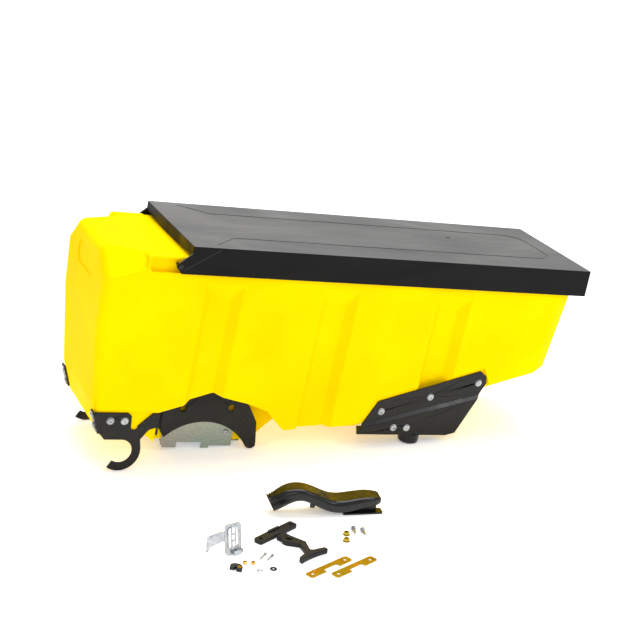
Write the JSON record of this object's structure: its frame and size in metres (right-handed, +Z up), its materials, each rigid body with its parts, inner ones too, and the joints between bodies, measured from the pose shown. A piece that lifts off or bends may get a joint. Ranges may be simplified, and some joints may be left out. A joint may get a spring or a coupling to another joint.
{
  "type": "tow behind spreader hopper unit",
  "caption": "Yellow moulded spreader hopper with a hinged black lid, hook and arch brackets, rear feet, a sliding outlet shutter and a loose fitting kit.",
  "frame": {"origin": "centre of the overall box on the floor, with the loose kit counted in", "axes": "+X along the hopper from the nose to the tail, +Y across it away from the side the kit lies on, +Z up"},
  "size_m": [1.4068, 1.0185, 0.6179],
  "materials": {
    "hopper_polyethylene": "rotomoulded polyethylene, soft satin",
    "lid_plastic": "formed plastic sheet, fine grain",
    "powder_coated_steel": "black powder coat on folded steel",
    "bright_zinc": "bright zinc plate",
    "yellow_zinc": "yellow passivated zinc plate",
    "brass": "turned brass",
    "rubber": "moulded rubber",
    "seal_foam": "closed cell foam strip",
    "black_plastic": "moulded black plastic"
  },
  "bodies": {
    "hopper": {"foot_angle_far": "powder_coated_steel", "foot_angle_near": "powder_coated_steel", "foot_screw_far": "bright_zinc", "foot_screw_near": "bright_zinc", "hinge_pin_far": "black_plastic", "hinge_pin_near": "black_plastic", "hook_bracket_far": "powder_coated_steel", "hook_bracket_inserts_far": "brass", "hook_bracket_inserts_near": "brass", "hook_bracket_near": "powder_coated_steel", "hook_bracket_screws_far": "bright_zinc", "hook_bracket_screws_near": "bright_zinc", "hopper_shell": "hopper_polyethylene", "lid_seal": "seal_foam", "outlet_plate_far": "yellow_zinc", "outlet_plate_inserts_far": "brass", "outlet_plate_inserts_near": "brass", "outlet_plate_near": "yellow_zinc", "outlet_plate_screws_far": "bright_zinc", "outlet_plate_screws_near": "bright_zinc", "outlet_seal": "rubber", "rear_bracket_far": "powder_coated_steel", "rear_bracket_inserts_far": "brass", "rear_bracket_inserts_near": "brass", "rear_bracket_near": "powder_coated_steel", "rear_bracket_screws_far": "bright_zinc", "rear_bracket_screws_near": "bright_zinc", "rear_foot_far": "black_plastic", "rear_foot_near": "black_plastic", "web_nuts_far": "bright_zinc", "web_nuts_near": "bright_zinc", "web_screws_far": "bright_zinc", "web_screws_near": "bright_zinc"},
    "lid_body": {"lid": "lid_plastic"},
    "shutter_body": {"outlet_shutter": "bright_zinc"},
    "spout_body": {"spout": "black_plastic"},
    "latch_base_body": {"latch_base": "rubber"},
    "latch_strap_body": {"latch_strap": "rubber"},
    "latch_keeper_body": {"latch_keeper": "bright_zinc"},
    "backing_plate_1_body": {"backing_plate_1": "yellow_zinc"},
    "backing_plate_2_body": {"backing_plate_2": "yellow_zinc"},
    "corner_clip_body": {"corner_clip": "black_plastic", "clip_insert": "brass"},
    "brass_nuts_body": {"brass_nuts": "brass"},
    "flange_nuts_body": {"flange_nuts": "yellow_zinc"},
    "clip_screws_body": {"clip_screws": "bright_zinc"},
    "short_screw_body": {"short_screw": "bright_zinc"},
    "latch_screws_body": {"latch_screws": "bright_zinc"},
    "rubber_washer_body": {"rubber_washer": "rubber"}
  },
  "joints": [
    {"name": "lid_hinge", "type": "hinge", "parent": "hopper", "child": "lid_body", "pos_m": [-0.49789, 0.3025, 0.56389], "axis": [0, -1, 0], "range_deg": [0, 95]},
    {"name": "shutter_slide", "type": "slide", "parent": "hopper", "child": "shutter_body", "axis": [0.9948, 0, -0.1018], "range_m": [0, 0.12]},
    {"name": "spout_lift", "type": "slide", "parent": "hopper", "child": "spout_body", "axis": [0, 0, 1], "range_m": [0, 0.25]},
    {"name": "latch_base_lift", "type": "slide", "parent": "hopper", "child": "latch_base_body", "axis": [0, 0, 1], "range_m": [0, 0.25]},
    {"name": "latch_strap_lift", "type": "slide", "parent": "hopper", "child": "latch_strap_body", "axis": [0, 0, 1], "range_m": [0, 0.25]},
    {"name": "latch_keeper_lift", "type": "slide", "parent": "hopper", "child": "latch_keeper_body", "axis": [0, 0, 1], "range_m": [0, 0.25]},
    {"name": "backing_plate_1_lift", "type": "slide", "parent": "hopper", "child": "backing_plate_1_body", "axis": [0, 0, 1], "range_m": [0, 0.25]},
    {"name": "backing_plate_2_lift", "type": "slide", "parent": "hopper", "child": "backing_plate_2_body", "axis": [0, 0, 1], "range_m": [0, 0.25]},
    {"name": "corner_clip_lift", "type": "slide", "parent": "hopper", "child": "corner_clip_body", "axis": [0, 0, 1], "range_m": [0, 0.25]},
    {"name": "brass_nuts_lift", "type": "slide", "parent": "hopper", "child": "brass_nuts_body", "axis": [0, 0, 1], "range_m": [0, 0.25]},
    {"name": "flange_nuts_lift", "type": "slide", "parent": "hopper", "child": "flange_nuts_body", "axis": [0, 0, 1], "range_m": [0, 0.25]},
    {"name": "clip_screws_lift", "type": "slide", "parent": "hopper", "child": "clip_screws_body", "axis": [0, 0, 1], "range_m": [0, 0.25]},
    {"name": "short_screw_lift", "type": "slide", "parent": "hopper", "child": "short_screw_body", "axis": [0, 0, 1], "range_m": [0, 0.25]},
    {"name": "latch_screws_lift", "type": "slide", "parent": "hopper", "child": "latch_screws_body", "axis": [0, 0, 1], "range_m": [0, 0.25]},
    {"name": "rubber_washer_lift", "type": "slide", "parent": "hopper", "child": "rubber_washer_body", "axis": [0, 0, 1], "range_m": [0, 0.25]}
  ]
}
